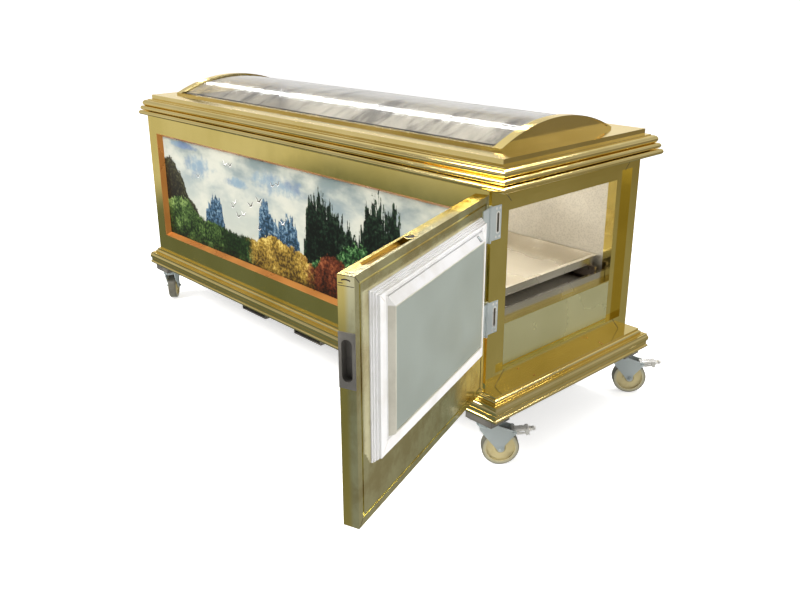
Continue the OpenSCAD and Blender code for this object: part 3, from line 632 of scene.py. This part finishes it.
def add_door_marks():
    """Mitre seams, the punched slits at the free corner, the pocket's ramp in gold darkened as painted shade, its
    rim, and a near-black plate as painted shade in the hexagon hole.
    """
    low, high = shut_box("door_shell")
    seams = Shape(swing)
    edge = 24
    for y, z, side, rise in ((low.y, low.z, 1, 1), (high.y, low.z, -1, 1), (high.y, high.z, -1, -1),
                             (low.y, high.z, 1, -1)):
        at = facing((low.x, y + side * edge / 2, z + rise * edge / 2), (-1, 0, 0), (0, side, rise))
        seams.prism([(-16, -0.9), (16, -0.9), (16, 0.9), (-16, 0.9)], -0.3, 0.12, at)
    for z in (high.z - 26, high.z - 1.5):
        at = facing(((low.x + high.x) / 2, high.y, z), (0, 1, 0), (1, 0, 0))
        seams.prism([(-21, -0.8), (21, -0.8), (21, 0.8), (-21, 0.8)], -0.3, 0.1, at)
    arc = []
    for r, turns in ((30, range(-24, 25, 6)), (26.5, range(24, -25, -6))):
        for turn in turns:
            a = math.radians(turn)
            arc.append((r * math.sin(a), r * math.cos(a) - 28))
    middle = (low.x + high.x) / 2
    seams.prism(arc, -0.3, 0.12, facing((middle, high.y - 13, high.z), (0, 0, 1), (1, 0, 0)))
    seams.prism(arc, -0.3, 0.12, facing((middle, high.y, high.z - 11), (0, 1, 0), (-1, 0, 0)))
    seams.prism([(-6, -1), (6, -1), (6, 1), (-6, 1)], -0.3, 0.12,
                facing((high.x - 8, high.y, high.z - 20), (0, 1, 0), (1, 0, 0)))
    seams.make("door_seams", seam_dark, "door_leaf", "black_plastic")
    start = hinge_at.y / MM + POCKET_FROM_HINGE
    ramp = Shape(swing)
    ramp.rings([[(middle - 12.5, y, high.z - 17.9), (middle + 12.5, y, high.z - 17.9),
                 (middle + 12.5, y, high.z - depth), (middle - 12.5, y, high.z - depth)]
                for y, depth in ((start + 30, 15), (start + POCKET_LENGTH, 8))])
    ramp.make("pocket_ramp", pocket_shaded_gold, "door_leaf", "gold_panel", 0.6)
    hole = [(-21, 0), (-12, -12.5), (12, -12.5), (21, 0), (12, 12.5), (-12, 12.5)]
    at = facing((middle, start + 16, high.z), (0, 0, 1), (0, 1, 0))
    rim = [[(x * k, y * k, h) for x, y in hole] for k, h in ((1.12, -0.4), (1.12, 0.5), (1.02, 0.9),
                                                             (0.94, 0.5), (0.94, -0.4))]
    collar = Shape(swing).rings(rim, closed=True, place=at)
    collar.make("pocket_rim", gold_moulding, "door_leaf", "gold_panel")
    # A near-black plate sunk in the hexagon hole: painted shade.
    Shape(swing).prism([(x * 0.97, y * 0.97) for x, y in hole], -3, -0.6, at).make(
        "pocket_hole_shade", seam_dark, "door_leaf", "black_plastic")


def add_hinge_marks():
    """The hinge leaves' long slots, screws and pins."""
    for high in ("low", "high"):
        name = "hinge_fixed_" + high
        fixed_low, fixed_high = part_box(name)
        middle_z = (fixed_low.z + fixed_high.z) / 2 / MM
        leaf = [v.co.x for v in nodes[name].data.vertices if v.co.y > fixed_high.y - 5 * MM]
        face = max(leaf) / MM
        y = fixed_high.y / MM - 15
        slots = Shape()
        at = facing((face, y, middle_z), (1, 0, 0))
        slots.prism(slotted(62, 9), -0.5, 0.1, at)
        slots.make("hinge_slot_" + high, seam_dark, "cabinet", "black_plastic")
        plate = Shape()
        ring = [(slotted(72, 19), -0.5), (slotted(72, 19), 0.15), (slotted(70, 17), 0.3),
                (slotted(64, 11), 0.3), (slotted(63, 10), -0.5)]
        plate.rings([[(px, py, h) for px, py in flat] for flat, h in ring], closed=True, place=at)
        for off in (-45, 45):
            for side in (-8, 8):
                spot = facing((face, y + side, middle_z + off), (1, 0, 0))
                plate.lathe(((4.2, -0.5), (4.2, 0.15), (3.0, 0.28), (0.4, 0.3)), spot, 16)
        plate.make("hinge_plate_" + high, pedal_metal, "cabinet", "zinc")
        pin = Shape(Matrix.Translation((hinge_at.x, hinge_at.y, middle_z * MM)))
        for end in (-1, 1):
            profile = ((0.4, 54.5), (5.4, 55), (6.2, 57), (4.8, 59.5), (0.4, 60.5))
            pin.lathe([(r, end * h) for r, h in profile], sides=20)
        pin.make("hinge_pin_" + high, zinc_plate, "cabinet", "zinc")


LEDGE_TOP = 272


def add_frame_seams():
    """Mitre seams at the end frame's corners, and the rivets on the ledge below it."""
    frame_low, frame_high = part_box("door_frame")
    face = frame_high.x / MM
    wide, low_z, high_z = frame_high.y / MM, frame_low.z / MM, frame_high.z / MM
    seams = Shape()
    for side in (-1, 1):
        for z, rise in ((low_z, 1), (high_z, -1)):
            at = facing((face, side * (wide - 23), z + rise * 25), (1, 0, 0), (0, -side * 46, rise * 50))
            seams.prism([(-33, -1.1), (33, -1.1), (33, 1.1), (-33, 1.1)], -0.3, 0.12, at)
    seams.make("frame_seams", seam_dark, "cabinet", "black_plastic")
    rivets = Shape()
    for x, y in ((1092, -196), (1086, 196), (1100, 190)):
        rivets.lathe(((3.4, -0.5), (3.4, 0.4), (2.4, 1.5), (0.3, 1.9)),
                     Matrix.Translation((x * MM, y * MM, LEDGE_TOP * MM)), 16)
    rivets.make("ledge_rivets", copper_trim, "cabinet", "copper_trim")


# A caster's sizes in millimetres: half of its width over the cheeks, its race and its plate's underside
CHEEK = 25.4
RACE_LOW, RACE_HIGH = 144.2, 149
PLATE_LOW = 161


def add_caster_parts():
    """Axle nuts, race rings, plate bolts, and the ribbed pedal with its claw-shaped second lever."""
    for i in range(4):
        swivel, spin, press = (joints["%s_%d" % (kind, i)]
                               for kind in ("caster_swivel", "wheel_spin", "brake_press"))
        at = Vector(swivel["pos_m"])
        axle = Vector(spin["pos_m"])
        side = Vector(spin["axis"])
        pin = Vector(press["pos_m"])
        trail = (Vector((axle.x, axle.y, 0)) - Vector((at.x, at.y, 0))).normalized()
        fork = Shape()
        for sign in (-1, 1):
            near = facing((axle + side * sign * CHEEK * MM) / MM, side * sign, trail)
            fork.lathe(((9.5, 0), (9.5, 1.6), (8.8, 2.0)), near, 24)
            fork.prism(hexagon(13), 2.0, 8.5, near, 1.0)
            fork.lathe(((3.6, 8), (3.6, 11.5), (2.8, 12.2)), near, 16)
            arm = facing((pin + side * sign * CHEEK * MM) / MM, side * sign, trail)
            fork.lathe(((5.2, 0), (5.2, 2.2), (4.0, 3.0)), arm, 18)
        ring = Matrix.Translation((at.x, at.y, 0))
        turns = [math.radians(15 * k) for k in range(24)]
        race = ((33.5, RACE_LOW), (35.5, RACE_LOW), (35.5, RACE_HIGH), (33.5, RACE_HIGH))
        fork.rings([[(r * math.cos(a), r * math.sin(a), z) for a in turns] for r, z in race],
                   closed=True, place=ring)
        fork.make("fork_nuts_%d" % i, zinc_plate, "caster_fork_%d" % i, "zinc")
        bolts = Shape(ring)
        upside_down = Matrix.Rotation(math.pi, 4, "X")
        for px in (-42, 42):
            for py in (-32, 32):
                spot = Matrix.Translation((px * MM, py * MM, PLATE_LOW * MM)) @ upside_down
                bolts.prism(hexagon(11), -0.5, 5.0, spot, 0.8)
        bolts.make("mount_bolts_%d" % i, zinc_plate, "cabinet", "zinc")
        rest = Matrix((trail, side, Vector((0, 0, 1)))).transposed().to_4x4()
        lever = Shape(Matrix.Translation(pin) @ rest)
        lever.rings([[(x, y, z) for y, z in ((-w, 1.2), (w, 1.2), (w, top), (0.35 * w, top + 2.2),
                                             (-0.35 * w, top + 2.2), (-w, top))]
                     for x, w, top in ((3, 13.5, 6.5), (20, 13.5, 7.5), (44, 14.5, 7.5), (58, 12.5, 6.5),
                                       (64, 8.5, 5.5))])
        for x in (24, 31, 38, 45):
            lever.rings([[(x + k, y, z) for y, z in ((-13, 7), (13, 7), (12, 10.2), (-12, 10.2))]
                         for k in (-1.4, 1.4)])
        lever.lathe(((7, -1), (9, 1), (9, 7), (6.5, 10), (1, 11)), Matrix.Translation((66 * MM, 0, 0)), 20)
        claw = [(4, -3), (20, -5), (38, -4), (52, -8), (56, -17), (50, -13), (45, -18), (40, -11),
                (30, -12), (16, -15), (4, -12)]
        for y in (-11, 8):
            lever.rings([[(x, y + t, z) for x, z in claw] for t in (0, 3)])
        lever.make("pedal_lever_%d" % i, pedal_metal, "brake_pedal_%d" % i, "pedal_metal", 0.5)


def add_birds():
    """Small flat birds over the painted wood, on both pictures."""
    for name, flip in (("front", 1), ("back", -1)):
        low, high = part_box("picture_" + name)
        face = (low.y if flip > 0 else high.y) / MM
        left = low.x / MM if flip > 0 else high.x / MM
        wide, tall = (high.x - low.x) / MM, (high.z - low.z) / MM
        chance = random.Random(7)
        pale, dark = Shape(), Shape()
        flocks = ((pale, dark), (dark, pale))
        for n, (u, v) in enumerate(((0.27, 0.86), (0.29, 0.86), (0.155, 0.68), (0.44, 0.79), (0.46, 0.81),
                                    (0.36, 0.56), (0.39, 0.62), (0.30, 0.54), (0.29, 0.50), (0.31, 0.43),
                                    (0.33, 0.46), (0.385, 0.38), (0.47, 0.49))):
            at = facing((left + flip * u * wide, face, low.z / MM + v * tall), (0, -flip, 0),
                        (math.cos(chance.uniform(-0.5, 0.5)), 0, math.sin(chance.uniform(-0.5, 0.5))))
            size = chance.uniform(15, 25)
            under, over = flocks[0 if n in (0, 7, 10, 12) else 1]
            for k, (flock, shift) in enumerate(((over, -3.0), (under, 0.0))):
                wing = [(-1.0, 0.62), (-0.5, 0.42), (-0.1, 0.04), (0.15, 0.12), (0.45, 0.52), (0.95, 0.85),
                        (0.55, 0.30), (0.35, -0.08), (0.0, -0.12), (-0.45, -0.20), (-0.30, 0.0), (-0.6, 0.26)]
                flock.prism([(x * size, y * size + shift) for x, y in wing], -0.3, 0.25 + 0.15 * k, at)
        pale.make("birds_pale_" + name, white_seal, "cabinet", "picture_print")
        dark.make("birds_dark_" + name, seam_dark, "cabinet", "picture_print")


# ---- Stage, lights and camera ----

VIEW_AZIMUTH, VIEW_ELEVATION, VIEW_ROLL = 48.2, 19.3, -0.6
VIEW_FROM = Vector((2.661, -2.306, 1.5375))
VIEW_LENS = 37.95
VIEW_SHIFT = (0.02875, -0.031)


def add_camera():
    """The photographed view: azimuth 0 looks along +Y, and 90 along -X."""
    azimuth, elevation, roll = (math.radians(a) for a in (VIEW_AZIMUTH, VIEW_ELEVATION, VIEW_ROLL))
    right = Vector((math.cos(azimuth), math.sin(azimuth), 0))
    back = Vector((math.sin(azimuth) * math.cos(elevation), -math.cos(azimuth) * math.cos(elevation),
                   math.sin(elevation)))
    turned = Matrix((right, back.cross(right), back)).transposed() @ Matrix.Rotation(roll, 3, "Z")
    data = bpy.data.cameras.new("camera")
    data.lens, data.sensor_width, data.sensor_fit = VIEW_LENS, 36.0, "HORIZONTAL"
    data.shift_x, data.shift_y = VIEW_SHIFT
    camera = bpy.data.objects.new("camera", data)
    camera.matrix_world = Matrix.Translation(VIEW_FROM) @ turned.to_4x4()
    bpy.context.scene.collection.objects.link(camera)
    bpy.context.scene.camera = camera


def add_plane(name, size, height, material):
    """A square stage plane round the origin."""
    data = bpy.data.meshes.new(name)
    half = size / 2
    data.from_pydata([(-half, -half, height), (half, -half, height), (half, half, height),
                      (-half, half, height)], [], [(0, 1, 2, 3)])
    data.materials.append(material)
    plane = bpy.data.objects.new(name, data)
    bpy.context.scene.collection.objects.link(plane)
    return plane


def add_stage():
    """A pale floor, and under it a darker studio floor that only reflections see."""
    pale = Paint("pale_floor", Base_Color=(0.92, 0.92, 0.92), Roughness=0.9,
                 Emission_Color=(1.0, 1.0, 1.0), Emission_Strength=0.55)
    floor = add_plane("floor", 60, 0.0, pale.material)
    floor.visible_glossy = False
    dusk = Paint("studio_floor", Base_Color=(0, 0, 0), Roughness=1.0, Emission_Strength=1.0)
    x, y, _ = dusk.axes()
    beyond = (x * -1 - 2.6).most(y * -1 - 2.6).ramp(0.0, 1.2)
    beside = dusk.blend(x.ramp(0.9, 1.5), (0.13, 0.155, 0.13), (0.275, 0.265, 0.215))
    near = dusk.blend((x + y).ramp(3.5, 9.0), beside, (0.19, 0.16, 0.10))
    dusk.set("Emission Color", dusk.blend(beyond, near, (0.62, 0.60, 0.56)))
    mirror_floor = add_plane("mirror_floor", 60, -0.002, dusk.material)
    mirror_floor.visible_camera = False
    mirror_floor.visible_diffuse = False
    mirror_floor.visible_transmission = False
    mirror_floor.visible_shadow = False


def add_world():
    """A studio that is bright overhead and to the far left, and darker low down and to the right."""
    world = bpy.data.worlds.new("studio")
    bpy.context.scene.world = world
    world.use_nodes = True
    tree = world.node_tree
    background = tree.nodes["Background"]
    place = tree.nodes.new("ShaderNodeTexCoord").outputs["Generated"]
    split = tree.nodes.new("ShaderNodeSeparateXYZ")
    tree.links.new(place, split.inputs[0])
    x, y, z = (Value(tree, out) for out in split.outputs)
    left = (y - x).ramp(-0.4, 1.3)
    low = left * z.ramp(0.18, 0.34, 0.68, 0.42) + 0.24
    level = (z + left * 0.4).ramp(0.80, 1.25)
    bright = low * (level * -1 + 1.0) + level * 1.05
    seen = Value(tree, tree.nodes.new("ShaderNodeLightPath").outputs["Is Camera Ray"])
    join(tree, bright.most(seen * 1.3), background.inputs["Strength"])
    background.inputs["Color"].default_value = (1.0, 0.99, 0.97, 1.0)


def add_area(name, place, target, size, power, colour=(1.0, 0.98, 0.95)):
    """A rectangular light that faces its target."""
    data = bpy.data.lights.new(name, "AREA")
    data.shape = "RECTANGLE"
    data.size, data.size_y = size
    data.energy = power
    data.color = colour
    light = bpy.data.objects.new(name, data)
    light.location = place
    light.rotation_mode = "QUATERNION"
    light.rotation_quaternion = (Vector(place) - Vector(target)).to_track_quat("Z", "Y")
    bpy.context.scene.collection.objects.link(light)
    return light


def add_lights():
    middle = (0.0, 0.0, 0.6)
    add_area("key", (-1.5, -4.5, 4.6), middle, (4.0, 2.4), 420)
    add_area("fill", (5.5, 2.5, 3.4), middle, (2.4, 2.4), 110).visible_glossy = False
    add_area("tube_left", (-5.2, 3.0, 3.8), (-5.2, 0.0, 1.0), (6.0, 0.24), 70)
    add_area("tube_right", (1.2, 2.9, 3.9), (1.2, 0.0, 1.0), (6.0, 0.24), 75)
    add_area("tube_front", (1.6, 1.9, 4.1), (1.6, 0.0, 1.0), (4.4, 0.10), 22)
    add_area("tube_thin", (-1.0, 3.9, 4.1), (-1.0, 0.0, 1.0), (12.0, 0.05), 24)


finish_nodes()
add_door_seal()
add_door_plug()
add_door_marks()
add_hinge_marks()
add_frame_seams()
add_caster_parts()
add_birds()
add_stage()
add_world()
add_lights()
add_camera()
bpy.context.scene.view_settings.view_transform = "Standard"
